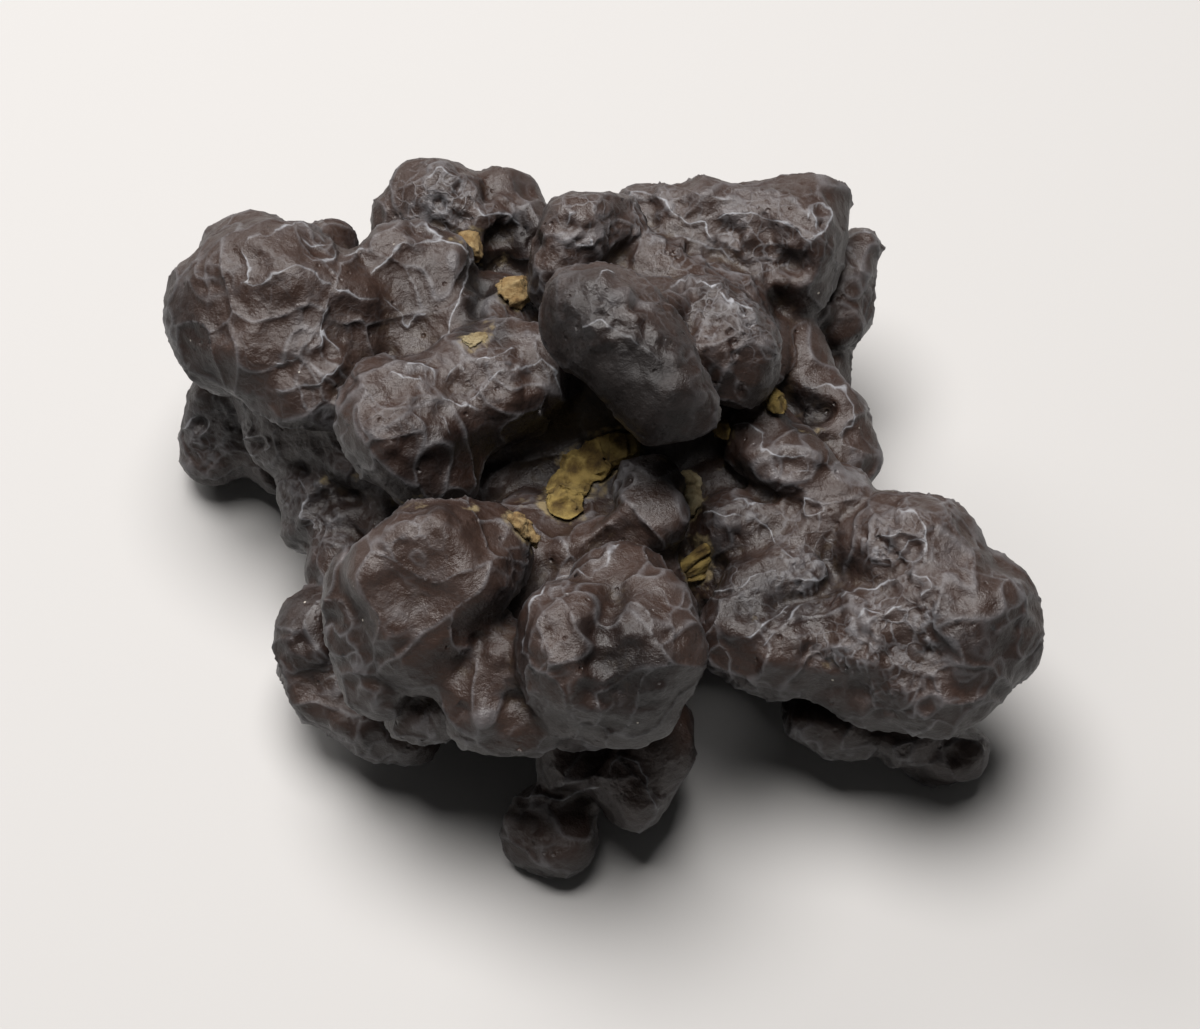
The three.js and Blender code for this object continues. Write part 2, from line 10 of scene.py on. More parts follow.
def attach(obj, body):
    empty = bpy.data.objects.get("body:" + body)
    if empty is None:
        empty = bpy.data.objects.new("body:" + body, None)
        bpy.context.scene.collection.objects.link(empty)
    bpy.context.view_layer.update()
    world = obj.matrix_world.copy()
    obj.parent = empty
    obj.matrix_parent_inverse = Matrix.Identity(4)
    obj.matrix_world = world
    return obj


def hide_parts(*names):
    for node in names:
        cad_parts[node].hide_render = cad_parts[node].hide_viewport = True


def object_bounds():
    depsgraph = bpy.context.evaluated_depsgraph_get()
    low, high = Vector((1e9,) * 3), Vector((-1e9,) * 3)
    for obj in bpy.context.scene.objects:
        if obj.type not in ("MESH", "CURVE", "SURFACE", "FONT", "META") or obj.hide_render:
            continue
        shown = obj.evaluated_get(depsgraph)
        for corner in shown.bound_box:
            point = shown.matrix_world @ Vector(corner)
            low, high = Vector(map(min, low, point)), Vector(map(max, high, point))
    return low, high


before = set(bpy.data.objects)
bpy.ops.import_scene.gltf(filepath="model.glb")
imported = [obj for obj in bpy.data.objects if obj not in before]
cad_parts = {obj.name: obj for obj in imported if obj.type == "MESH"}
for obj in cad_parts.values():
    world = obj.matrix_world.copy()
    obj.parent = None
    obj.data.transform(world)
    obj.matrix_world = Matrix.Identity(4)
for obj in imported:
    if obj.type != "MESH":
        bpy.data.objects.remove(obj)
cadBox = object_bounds()
scene = bpy.context.scene
mm = 0.001
noise.seed_set(5)  # the same stone every time

view = {  # the photograph's eye: where it looks, from how high and how far
    "aim": Vector((0.6, -2.87, 14.0)) * mm,
    "elevation": math.radians(60),
    "distance": 215 * mm,
    "lens": 100,
    "sensor": 36,
    "width": 1200,
    "height": 1029,
}
towardsEye = Vector((0, -math.cos(view["elevation"]), math.sin(view["elevation"])))
upInView = Vector((0, math.sin(view["elevation"]), math.cos(view["elevation"])))
eye = view["aim"] + towardsEye * view["distance"]


def mergedCopy(node, name):  # a copy of a frame node with its triangles joined up
    mesh = bpy.data.meshes.new(name)
    bm = bmesh.new()
    bm.from_mesh(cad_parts[node].data)
    bmesh.ops.remove_doubles(bm, verts=bm.verts, dist=1e-6)
    bm.to_mesh(mesh)
    bm.free()
    piece = bpy.data.objects.new(name, mesh)
    scene.collection.objects.link(piece)
    return piece


def workIn(piece):  # keeps what the modifiers make, and clears them
    graph = bpy.context.evaluated_depsgraph_get()
    mesh = bpy.data.meshes.new_from_object(piece.evaluated_get(graph))
    piece.modifiers.clear()
    old = piece.data
    piece.data = mesh
    bpy.data.meshes.remove(old)


def remeshed(piece, voxel, smooth):
    remesh = piece.modifiers.new("remesh", "REMESH")
    remesh.mode = "VOXEL"
    remesh.voxel_size = voxel
    ease = piece.modifiers.new("ease", "SMOOTH")
    ease.factor = 0.5
    ease.iterations = smooth
    workIn(piece)


def shadeSmooth(piece):
    for polygon in piece.data.polygons:
        polygon.use_smooth = True


def readPoints(mesh):
    points = np.empty(3 * len(mesh.vertices), dtype=np.float32)
    mesh.vertices.foreach_get("co", points)
    return points.reshape(-1, 3).astype(float)


def readNormals(mesh):
    normals = np.empty(3 * len(mesh.vertices), dtype=np.float32)
    mesh.vertex_normals.foreach_get("vector", normals)
    return normals.reshape(-1, 3).astype(float)


def readEdges(mesh):
    edges = np.empty(2 * len(mesh.edges), dtype=np.int32)
    mesh.edges.foreach_get("vertices", edges)
    return edges.reshape(-1, 2)


def writePoints(mesh, points):
    mesh.vertices.foreach_set("co", points.astype(np.float32).ravel())
    mesh.update()


def writeField(mesh, name, values):
    layer = mesh.attributes.new(name, "FLOAT", "POINT")
    layer.data.foreach_set("value", values.astype(np.float32))


def eased(values, edges, rounds):  # values averaged with their neighbours, again and again
    count = len(values)
    share = np.bincount(edges.ravel(), minlength=count).astype(float)
    first, second = edges[:, 0], edges[:, 1]
    out = values.copy()
    for _ in range(rounds):
        total = np.stack([
            np.bincount(first, column[second], count) + np.bincount(second, column[first], count)
            for column in out.T
        ], axis=1)
        out = 0.4 * out + 0.6 * total / share[:, None]
    return out


def inBox(points):  # nothing sticks out of the CAD box
    low, high = cadBox
    return np.clip(points, np.array(low), np.array(high))


def treeOf(points):
    tree = KDTree(len(points))
    for i, point in enumerate(points):
        tree.insert(point, i)
    tree.balance()
    return tree


def noiseField(points, size, seed):
    shift = Vector((seed, -seed, 2 * seed))
    return np.array([noise.noise(Vector(point) / size + shift) for point in points])


def fractalField(points, size, seed):
    step, octaves, falloff = 2.1, 3, 0.8
    shift = Vector((seed, 2 * seed, -seed))
    return np.array([
        noise.fractal(Vector(point) / size + shift, falloff, step, octaves) for point in points
    ])


def cellField(points, size, seed, wall):  # 1 on walls of irregular cells; bowls, 0 in the middle
    warp, warpStep, bowlReach = 0.45, 1.7, 0.6
    walls = np.empty(len(points))
    bowls = np.empty(len(points))
    shift = Vector((seed, 2 * seed, 3 * seed))
    for i, point in enumerate(points):
        spot = Vector(point) / size + shift
        spot += warp * noise.noise_vector(spot * warpStep)
        nearest, second = noise.voronoi(spot)[0][:2]
        walls[i] = second - nearest
        bowls[i] = nearest
    return np.exp(-((walls / wall) ** 2)), np.clip(bowls / bowlReach, 0, 1)


def pitField(points, size):  # 1 in the middle of scattered round pits
    reach, rarity = 0.26, 0.12
    pits = np.empty(len(points))
    for i, point in enumerate(points):
        distances, middles = noise.voronoi(Vector(point) / size + Vector((31, 7, 19)))
        chosen = noise.noise(middles[0] * 2.3) > rarity
        pits[i] = math.exp(-((distances[0] / reach) ** 2)) if chosen else 0
    return pits


def chipField(points, size):  # each cell has its own height, as broken chalk does
    chips = np.empty(len(points))
    for i, point in enumerate(points):
        spot = Vector(point) / size
        middles = noise.voronoi(spot + 0.3 * noise.noise_vector(spot * 2))[1]
        chips[i] = noise.noise(middles[0] * 1.7)
    return chips


def jointField(piece):  # 1 in the joints between lumps, -1 on their crests, and where
    deep, rounds = 0.35 * mm, 12
    points = readPoints(piece.data)
    broad = eased(points, readEdges(piece.data), rounds)
    sunk = np.einsum("ij,ij->i", broad - points, readNormals(piece.data))
    return treeOf(points), np.clip(sunk / deep, -1, 1)


def inPhotograph(points):  # the pixel where the photograph shows each point
    away = points - np.array(eye)
    depth = -away @ np.array(towardsEye)
    focal = view["lens"] / view["sensor"] * view["width"]
    across = view["width"] / 2 + focal * away[:, 0] / depth
    down = view["height"] / 2 - focal * (away @ np.array(upInView)) / depth
    return np.stack([across, down], axis=1)


def pixelsFor(length):
    return length * view["lens"] / view["sensor"] * view["width"] / view["distance"]


def shownField(piece, points, normals, edges):  # 1 where the eye sees it squarely, 0 where hidden
    grazing, fade, clear, rounds = 0.05, 0.3, 0.6, 4
    tree = BVHTree.FromObject(piece, bpy.context.evaluated_depsgraph_get())
    facing = normals @ np.array(towardsEye)
    seen = np.zeros(len(points))
    for i in np.nonzero(facing > grazing)[0]:
        start = Vector(points[i]) + towardsEye * clear * mm
        seen[i] = tree.ray_cast(start, towardsEye)[0] is None
    seen = eased(seen[:, None], edges, rounds)[:, 0]
    return seen * np.clip((facing - grazing) / fade, 0, 1)


ridgeLines = {  # ridges seen on the stone, as lines through the photograph's pixels
    "leftHeadTop": [(241, 253), (251, 267), (247, 277), (242, 282), (262, 285), (273, 273),
        (294, 267), (308, 271), (327, 284)],
    "leftHeadBack": [(250, 241), (271, 237), (294, 227), (308, 232), (331, 242), (334, 248)],
    "leftHeadCell": [(303, 240), (320, 244), (335, 252), (330, 263), (312, 262), (303, 250)],
    "leftHeadMiddle": [(336, 290), (354, 295), (368, 299), (379, 302)],
    "faceOutline": [(376, 271), (398, 245), (426, 239), (442, 240), (455, 250), (467, 261),
        (465, 282), (457, 303), (444, 342)],
    "faceFold": [(388, 300), (400, 313), (409, 324), (421, 312)],
    "leftHeadFront": [(279, 365), (297, 358), (313, 350), (322, 342), (323, 321), (325, 308)],
    "leftHeadSpur": [(325, 333), (334, 345), (336, 352)],
    "leftHeadLow": [(276, 390), (297, 387), (318, 382), (334, 371), (344, 355)],
    "leftHeadEdge": [(344, 253), (348, 257), (365, 252)],
    "shoulderLeft": [(408, 366), (426, 371), (442, 383), (447, 374), (459, 366), (463, 371)],
    "shoulderMiddle": [(476, 363), (497, 358), (510, 352)],
    "shoulderRight": [(468, 399), (485, 391), (503, 373), (523, 367), (543, 362), (551, 374),
        (558, 392)],
    "shoulderFront": [(440, 396), (453, 405), (476, 408)],
    "shoulderEdge": [(392, 372), (418, 380), (436, 402), (447, 432)],
    "blockLeft": [(628, 200), (640, 192), (656, 197), (669, 201), (673, 214), (690, 225),
        (703, 221), (713, 237)],
    "blockBack": [(660, 190), (690, 192), (712, 200), (731, 198)],
    "blockMiddle": [(718, 217), (731, 214), (753, 213), (767, 221), (785, 222), (800, 231),
        (805, 240), (811, 249)],
    "blockRing": [(809, 215), (812, 207), (819, 206), (826, 213), (825, 226), (818, 235),
        (811, 241)],
    "blockRight": [(812, 209), (816, 219), (813, 228)],
    "blockCells": [(676, 232), (688, 240), (700, 238), (708, 248), (722, 246), (730, 256)],
    "besideEggTop": [(672, 287), (682, 280), (700, 283), (712, 290), (722, 287)],
    "besideEggKnot": [(738, 305), (750, 308), (757, 318), (750, 330), (739, 324), (738, 311),
        (748, 316), (756, 322)],
    "besideEggSide": [(722, 296), (731, 305), (733, 318)],
    "eggCrest": [(585, 326), (603, 322), (622, 333), (645, 347), (660, 360)],
    "eggTop": [(596, 286), (604, 275), (612, 272)],
    "behindEggNet": [(563, 232), (568, 218), (578, 213), (590, 222), (588, 240), (576, 246),
        (568, 236)],
    "rightHeadTop": [(899, 514), (918, 512), (924, 529), (927, 559), (914, 563), (901, 555),
        (894, 566), (875, 563)],
    "rightHeadCells": [(883, 536), (897, 536), (905, 527), (903, 517)],
    "rightHeadCross": [(901, 555), (906, 543), (924, 538)],
    "rightHeadLoop": [(914, 576), (927, 579), (929, 589), (920, 596)],
    "rightHeadMiddle": [(846, 600), (858, 588), (870, 592), (884, 583), (896, 580)],
    "rightHeadWave": [(850, 622), (868, 612), (884, 616), (900, 606)],
    "armTop": [(707, 516), (746, 516), (763, 525), (776, 542), (789, 559), (823, 568),
        (826, 576), (802, 581), (776, 572), (759, 576), (737, 589), (716, 594)],
    "armFold": [(763, 645), (785, 624), (802, 606), (823, 598)],
    "armSecondFold": [(746, 637), (772, 624), (790, 604)],
    "armBack": [(735, 502), (752, 507), (768, 503)],
    "flankTop": [(733, 426), (746, 422), (763, 434), (759, 452), (780, 456), (806, 456),
        (808, 469), (789, 477)],
    "flankCells": [(806, 499), (823, 503), (826, 512), (811, 518), (804, 508), (806, 499)],
    "craterRim": [(806, 386), (826, 386), (842, 392), (852, 408), (852, 422), (840, 434)],
    "backLeftRing": [(431, 196), (441, 190), (451, 199), (446, 210), (436, 212), (430, 204)],
    "backLeftEdge": [(404, 219), (418, 222), (433, 229), (441, 236)],
    "backLeftTop": [(426, 182), (440, 172), (455, 178), (462, 188), (455, 199)],
    "backLeftLow": [(476, 206), (488, 215), (502, 213), (515, 222)],
    "lowKnobRing": [(248, 441), (255, 433), (266, 436), (270, 446), (261, 453), (250, 449)],
    "lowKnobLeft": [(190, 428), (196, 416), (206, 412), (212, 420), (204, 432)],
    "frontRightRim": [(523, 652), (526, 626), (536, 602), (552, 583), (576, 573), (588, 582),
        (600, 572)],
    "frontRightTop": [(588, 582), (606, 566), (618, 548)],
    "footEdge": [(504, 806), (514, 799), (538, 796), (557, 801), (580, 792), (595, 787)],
    "secondFootEdge": [(612, 772), (622, 760), (636, 762), (646, 777), (648, 801)],
    "leftWrinkle": [(300, 478), (310, 494), (306, 512), (318, 528)],
}


def distanceToLine(places, line):  # how far each place is from the line, and on which side of it
    best = np.full(len(places), 1e9)
    side = np.ones(len(places))
    for start, end in zip(line[:-1], line[1:]):
        a = np.array(start, dtype=float)
        b = np.array(end, dtype=float)
        reach = places - a
        along = np.clip(reach @ (b - a) / max(1e-9, (b - a) @ (b - a)), 0, 1)
        away = np.linalg.norm(reach - along[:, None] * (b - a), axis=1)
        closer = away < best
        best[closer] = away[closer]
        onLeft = (b - a)[0] * reach[closer, 1] > (b - a)[1] * reach[closer, 0]
        side[closer] = np.where(onLeft, 1, -1)
    return best, side


def wandering(places, size, reach, seed):  # the places shifted a little, this way and that
    out = places.copy()
    for i, (x, y) in enumerate(places):
        shift = noise.noise_vector(Vector((x / size, y / size, seed)))
        shift += 0.5 * noise.noise_vector(Vector((x / size, y / size, seed)) * 2.3)
        out[i] += reach * np.array(shift[:2])
    return out


def lineField(places, shown):  # 0 to 1, highest along the ridge lines, and the distance in mm
    looks = {"width": 0.20 * mm, "wander": 0.30 * mm, "wanderPixels": 14, "seed": 3.0}
    width = pixelsFor(looks["width"])
    closest = np.full(len(places), 1e9)
    sides = np.ones(len(places))
    spots = places.copy()
    wanted = shown > 0
    wander = pixelsFor(looks["wander"])
    spots[wanted] = wandering(places[wanted], looks["wanderPixels"], wander, looks["seed"])
    for line in ridgeLines.values():
        corners = np.array(line)
        low, high = corners.min(0) - 4 * width, corners.max(0) + 4 * width
        near = np.nonzero(wanted & np.all((spots > low) & (spots < high), axis=1))[0]
        away, side = distanceToLine(spots[near], line)
        closer = away < closest[near]
        closest[near[closer]] = away[closer]
        sides[near[closer]] = side[closer]
    beside = np.clip(sides * closest / pixelsFor(mm), -1, 1)
    return np.exp(-((closest / width) ** 2)) * shown, beside


dabs = {  # dents and bumps seen on it: middle and radius in pixels, and height in mm
    "leftHead": [(258, 260, 15, -0.3), (311, 247, 16, -0.35), (287, 313, 42, -0.65),
        (356, 322, 25, -0.45), (285, 367, 14, -0.45), (305, 362, 13, -0.5),
        (325, 358, 12, -0.45), (346, 378, 12, -0.4), (338, 394, 10, -0.35),
        (224, 268, 18, 0.35), (350, 262, 11, 0.3), (262, 225, 20, 0.25), (300, 398, 22, 0.3),
        (215, 330, 22, -0.3), (232, 300, 14, -0.2)],
    "crevice": [(485, 282, 15, -1.1), (478, 308, 11, -0.9)],
    "squareFace": [(418, 275, 38, -0.6), (412, 318, 20, -0.25), (455, 250, 12, 0.2),
        (470, 300, 14, 0.2)],
    "backLeft": [(414, 229, 9, -0.4), (440, 200, 9, -0.45), (458, 191, 8, -0.35),
        (472, 204, 9, -0.4), (487, 199, 9, -0.45), (522, 226, 13, -0.9), (536, 243, 11, -0.6),
        (438, 168, 15, 0.3), (505, 178, 18, 0.3), (462, 218, 10, -0.5)],
    "behindEgg": [(570, 227, 9, -0.45), (588, 232, 8, -0.4), (578, 244, 7, -0.35),
        (606, 203, 17, 0.35), (560, 210, 12, 0.2)],
    "block": [(648, 203, 11, -0.4), (672, 236, 10, -0.35), (690, 250, 9, -0.35),
        (708, 256, 9, -0.35), (722, 230, 10, -0.35), (737, 234, 11, -0.45),
        (768, 230, 13, -0.5), (790, 236, 10, -0.4), (818, 213, 6, -0.22), (820, 226, 6, -0.22),
        (772, 260, 22, -0.9), (797, 266, 15, -0.7), (749, 240, 9, 0.45), (760, 272, 10, 0.4),
        (780, 280, 9, 0.4), (700, 206, 16, 0.2), (655, 222, 12, -0.3), (690, 203, 9, -0.2)],
    "egg": [(603, 281, 8, 0.28), (588, 286, 7, 0.2), (623, 295, 8, 0.3), (636, 318, 9, 0.32),
        (656, 336, 9, 0.3), (648, 353, 8, 0.28), (675, 356, 9, 0.25), (594, 329, 9, 0.28),
        (574, 305, 9, 0.25), (632, 340, 8, 0.25), (613, 342, 8, 0.22), (599, 298, 8, -0.32),
        (613, 307, 8, -0.3), (640, 304, 9, -0.28), (617, 324, 8, -0.32), (648, 333, 6, -0.25),
        (601, 316, 8, -0.3), (634, 362, 12, -0.3), (604, 356, 12, -0.32), (665, 375, 10, -0.25)],
    "besideEgg": [(680, 291, 8, -0.3), (695, 293, 8, -0.3), (709, 299, 8, -0.3),
        (745, 315, 6, -0.35), (751, 325, 6, -0.35), (731, 331, 5, -0.4), (734, 343, 5, -0.4),
        (735, 354, 5, -0.35), (715, 320, 12, -0.25), (765, 345, 10, 0.2)],
    "crater": [(804, 411, 19, -0.9), (828, 413, 15, -0.65), (790, 404, 9, -0.5),
        (819, 404, 6, 0.35)],
    "flank": [(770, 436, 12, -0.3), (785, 466, 13, -0.45), (750, 455, 14, 0.25),
        (815, 508, 7, -0.3), (790, 505, 14, -0.3), (800, 535, 16, 0.4), (838, 520, 16, 0.35),
        (770, 500, 12, -0.2)],
    "shoulder": [(455, 385, 10, -0.35), (484, 378, 10, -0.3), (503, 386, 12, -0.3),
        (532, 378, 13, -0.4), (470, 392, 9, -0.25), (375, 402, 10, -0.25),
        (396, 394, 11, -0.25), (418, 408, 11, -0.25), (440, 414, 10, -0.25),
        (386, 427, 11, -0.25), (406, 441, 12, -0.25), (430, 436, 10, -0.2),
        (395, 458, 10, -0.2), (425, 463, 9, -0.2), (560, 372, 12, 0.2)],
    "lowKnob": [(259, 443, 7, -0.5), (201, 423, 9, -0.35), (224, 428, 12, 0.3),
        (240, 462, 10, 0.25), (215, 455, 12, -0.3)],
    "frontLeft": [(427, 588, 44, -0.45), (372, 570, 16, 0.3), (400, 532, 16, 0.3),
        (440, 520, 14, 0.25), (466, 524, 14, 0.3), (495, 561, 12, 0.3), (503, 585, 10, 0.25),
        (385, 640, 14, 0.25), (420, 640, 18, -0.3), (362, 610, 16, -0.25), (345, 660, 14, -0.3),
        (372, 690, 14, 0.3)],
    "frontRight": [(608, 606, 14, -0.6), (601, 632, 19, -0.95), (597, 662, 17, -0.85),
        (590, 694, 14, -0.6), (548, 636, 13, -0.3), (562, 682, 15, -0.25), (575, 620, 10, 0.2),
        (634, 648, 14, -0.35), (672, 640, 13, -0.3), (630, 582, 22, 0.3), (650, 690, 14, 0.2),
        (618, 690, 12, -0.25), (545, 600, 10, -0.2)],
    "wedge": [(495, 655, 12, 0.3), (478, 640, 9, -0.35), (485, 722, 14, 0.3),
        (462, 712, 9, -0.4), (508, 700, 10, -0.35)],
    "rightHead": [(890, 526, 9, -0.22), (911, 522, 9, -0.2), (913, 546, 10, -0.22),
        (888, 550, 10, -0.22), (905, 566, 8, -0.18), (920, 588, 8, -0.22), (876, 605, 12, -0.3),
        (950, 560, 14, -0.25), (965, 600, 16, -0.3), (930, 625, 14, -0.25),
        (862, 640, 12, -0.35), (895, 650, 14, -0.3), (940, 655, 18, -0.5), (905, 690, 16, 0.3),
        (860, 690, 14, -0.35), (864, 706, 10, 0.35), (950, 700, 16, 0.3),
        (1000, 690, 10, -0.35), (1022, 626, 9, -0.3), (985, 645, 12, 0.2), (980, 560, 12, 0.2),
        (820, 690, 14, -0.3)],
    "arm": [(738, 545, 18, -0.45), (760, 550, 10, -0.25), (800, 570, 9, -0.3),
        (720, 570, 12, -0.3), (745, 610, 12, -0.4), (780, 606, 14, -0.45), (806, 625, 12, -0.4),
        (730, 630, 12, 0.25), (840, 575, 12, -0.45), (812, 655, 14, -0.55), (770, 660, 12, 0.3),
        (850, 545, 14, 0.3)],
    "leftFlank": [(300, 470, 10, -0.45), (322, 500, 11, -0.5), (305, 520, 9, 0.35),
        (340, 470, 10, 0.3), (335, 530, 12, -0.4), (300, 545, 10, -0.3), (352, 500, 10, -0.4)],
    "lowFlank": [(300, 640, 12, -0.4), (318, 655, 10, 0.3), (330, 620, 10, -0.4),
        (310, 690, 12, -0.35), (345, 720, 12, 0.3), (375, 742, 10, -0.4), (400, 730, 10, 0.3)],
    "feet": [(532, 810, 14, -0.3), (513, 824, 9, 0.3), (546, 837, 10, 0.3),
        (568, 815, 15, -0.3), (586, 803, 9, 0.25), (530, 850, 12, -0.2), (625, 790, 14, -0.3),
        (655, 800, 10, 0.2), (955, 760, 12, -0.3), (935, 770, 9, 0.25), (880, 760, 12, -0.3)],
}

films = {  # thin chalk and dust: middle and radius in pixels, and how thick
    "frontEdge": [(400, 503, 9, 0.8), (420, 500, 8, 0.8), (472, 511, 8, 0.9),
        (360, 475, 8, 0.8), (326, 480, 6, 0.7)],
    "craterFleck": [(815, 430, 7, 1.0), (806, 424, 5, 0.7)],
    "armCrevice": [(806, 652, 12, 0.3), (828, 662, 12, 0.3), (752, 618, 8, 0.3)],
    "seam": [(455, 243, 10, 0.6), (478, 262, 9, 0.6), (488, 330, 10, 0.5), (505, 262, 12, 0.4)],
    "middle": [(692, 540, 10, 0.6), (700, 590, 9, 0.5), (660, 462, 9, 0.4), (725, 470, 8, 0.5)],
    "hollow": [(545, 505, 14, 0.5), (600, 495, 12, 0.4), (520, 500, 10, 0.4)],
}

paintedShadeAndLight = {  # painted shade (below 0) and painted light (above 0), placed where shade and light fall: middle and radius in pixels, how much
    "wall": [(480, 285, 24, -1.2), (474, 315, 17, -1.2), (466, 336, 12, -1.0),
        (500, 335, 14, -0.8), (484, 262, 16, -0.8)],
    "egg": [(655, 388, 62, -1.1), (612, 350, 60, -0.7), (575, 300, 46, -0.7),
        (610, 395, 40, -0.9)],
    "frontLeft": [(405, 575, 55, 1.6)],
    "frontRight": [(622, 650, 60, -0.8), (640, 700, 50, -0.5), (540, 600, 30, 0.4)],
    "arm": [(800, 600, 50, -0.6), (740, 600, 45, -0.6), (715, 560, 30, -0.5),
        (760, 540, 40, -0.3)],
    "squareFace": [(415, 285, 45, -0.3)],
    "rightHead": [(930, 640, 60, -0.3), (1000, 640, 50, -0.4)],
    "back": [(440, 205, 30, -0.4), (520, 235, 25, -0.9)],
    "besideEgg": [(740, 330, 40, -0.4), (700, 300, 30, -0.3)],
    "crater": [(806, 410, 26, -1.2)],
    "leftSides": [(172, 330, 50, -0.6), (205, 405, 50, -0.6), (330, 505, 60, -0.7),
        (300, 620, 60, -0.5), (440, 460, 60, -0.5)],
    "hollow": [(560, 455, 60, -0.8), (640, 470, 50, -0.7), (700, 460, 35, -0.5)],
}


def dabField(places, shown, groups):  # the sum of the dabs, each highest in its middle
    spread = 1.35
    field = np.zeros(len(places))
    for group in groups.values():
        for x, y, reach, height in group:
            away = ((places - np.array([x, y])) ** 2).sum(axis=1) / (spread * reach) ** 2
            field += height * np.clip(1 - away, 0, 1) ** 2
    return field * shown


netPatches = {  # where a fine net covers it: middle and reach in pixels, how strong
    "besideEgg": (735, 315, 45, 0.9),
    "blockLeft": (670, 215, 50, 0.8),
    "blockFront": (715, 247, 42, 1.0),
    "blockRight": (760, 240, 60, 0.8),
    "backLeft": (445, 205, 50, 0.9),
    "behindEgg": (585, 225, 35, 0.9),
    "rightHead": (905, 545, 50, 0.7),
    "rightHeadLow": (880, 630, 75, 0.9),
    "arm": (775, 545, 70, 0.7),
    "lowKnob": (225, 445, 55, 0.6),
    "leftHead": (310, 330, 90, 0.15),
    "shoulder": (500, 375, 60, 0.4),
    "shoulderEnd": (400, 425, 50, 0.25),
    "egg": (620, 330, 70, 0.3),
    "leftFlank": (320, 500, 50, 0.8),
    "frontPair": (560, 630, 110, 0.08),
}


def patchField(points, places, shown):  # how strong the fine net of ridges is at each point
    field = np.zeros(len(points))
    for x, y, reach, strength in netPatches.values():
        away = np.linalg.norm(places - np.array([x, y]), axis=1) / reach
        field = np.maximum(field, strength * np.exp(-(away ** 4)))
    elsewhere = np.clip(0.9 * noiseField(points, 9 * mm, 2.0) + 0.25, 0, 1)
    return shown * field + (1 - shown) * elsewhere


stoneLooks = {
    "coarseVoxel": 0.42 * mm,
    "coarseSmooth": 4,
    "fineVoxel": 0.15 * mm,
    "fineSmooth": 3,
    "jointEase": 8,
    "triangles": 196000,
    "swell": 0.13 * mm,  # broad unevenness of the lumps
    "swellSize": 2.6 * mm,
    "rough": 0.12 * mm,  # smaller unevenness
    "roughSize": 1.7 * mm,
    "knobble": 0.075 * mm,  # little mounds and dents, the smallest of all
    "knobbleSize": 0.62 * mm,
    "crease": 0.60 * mm,  # how much deeper the joints between lumps get
    "plateSize": 5.2 * mm,
    "plateWall": 0.035,  # how wide its ridge is, as a share of its size
    "plateBowl": 0.30 * mm,  # how hollow the broad faces are
    "plateRidge": 0.12 * mm,
    "cellSize": 2.4 * mm,
    "cellWall": 0.07,
    "cellBowl": 0.19 * mm,
    "cellRidge": 0.09 * mm,
    "cellPatchSize": 6 * mm,
    "netSize": 1.0 * mm,
    "netWall": 0.12,
    "netBowl": 0.17 * mm,
    "netRidge": 0.10 * mm,
    "netPatchSize": 2.2 * mm,
    "lineHeight": 0.18 * mm,
    "lineBreakSize": 1.4 * mm,
    "pitSize": 0.9 * mm,
    "pitDepth": 0.28 * mm,
    "crestWearAndHighlightShares": {"plates": 0.5, "cells": 0.7, "net": 0.65, "lines": 0.3},  # how pale each ridge is: partly wear, partly painted highlight
}


def stoneRelief(points, places, shown, joint, patches, lines):  # its height, and how pale its crests are: partly wear, partly painted highlight
    looks = stoneLooks
    pale = looks["crestWearAndHighlightShares"]
    onLump = np.clip(1 - 1.4 * np.clip(joint, 0, 1), 0, 1)
    calm = np.clip(1 + dabField(places, shown, {"egg": paintedShadeAndLight["egg"]}), 0, 1)  # no plates on it
    plates, plateBowls = cellField(points, looks["plateSize"], 5.3, looks["plateWall"])
    cells, cellBowls = cellField(points, looks["cellSize"], 3.7, looks["cellWall"])
    net, netBowls = cellField(points, looks["netSize"], 8.1, looks["netWall"])
    cellMask = np.clip(0.35 + 1.2 * noiseField(points, looks["cellPatchSize"], 21.0), 0, 1)
    cellMask = cellMask * onLump * (1 - 0.7 * patches)
    netMask = patches * (0.8 + 1.8 * noiseField(points, looks["netPatchSize"], 17.0))
    netMask = np.clip(netMask, 0, 1) * onLump
    height = looks["swell"] * noiseField(points, looks["swellSize"], 5.0)
    height += looks["rough"] * fractalField(points, looks["roughSize"], 11.0)
    height += looks["knobble"] * noiseField(points, looks["knobbleSize"], 29.0)
    bowls = looks["plateBowl"] * (plateBowls ** 2 - 0.5)
    height += (looks["plateRidge"] * plates + bowls) * onLump * calm
    height += (looks["cellRidge"] * cells + looks["cellBowl"] * (cellBowls - 0.6)) * cellMask
    height += (looks["netRidge"] * net + looks["netBowl"] * (netBowls - 0.6)) * netMask
    height += looks["lineHeight"] * lines
    height += mm * dabField(places, shown, dabs)
    pits = looks["pitDepth"] * pitField(points, looks["pitSize"])
    height -= pits * np.clip(0.15 + patches, 0, 1)
    height -= looks["crease"] * np.clip(joint, 0, 1) ** 1.5
    # how pale the crests are: partly wear, partly painted highlight
    crestWearAndHighlight = np.maximum.reduce([
        plates * pale["plates"] * onLump * calm,
        cells * cellMask * pale["cells"],
        net * netMask * pale["net"],
        pale["lines"] * lines,
    ])
    return height, np.clip(crestWearAndHighlight, 0, 1)


print("making the stone")
stone = mergedCopy("stone", "prophecyStone")
remeshed(stone, stoneLooks["coarseVoxel"], stoneLooks["coarseSmooth"])
coarseTree, coarseJoint = jointField(stone)
remeshed(stone, stoneLooks["fineVoxel"], stoneLooks["fineSmooth"])
points = readPoints(stone.data)
normals = readNormals(stone.data)
edges = readEdges(stone.data)
print("stone has", len(points), "points before its relief")
joint = coarseJoint[[coarseTree.find(point)[1] for point in points]]
joint = eased(joint[:, None], edges, stoneLooks["jointEase"])[:, 0]

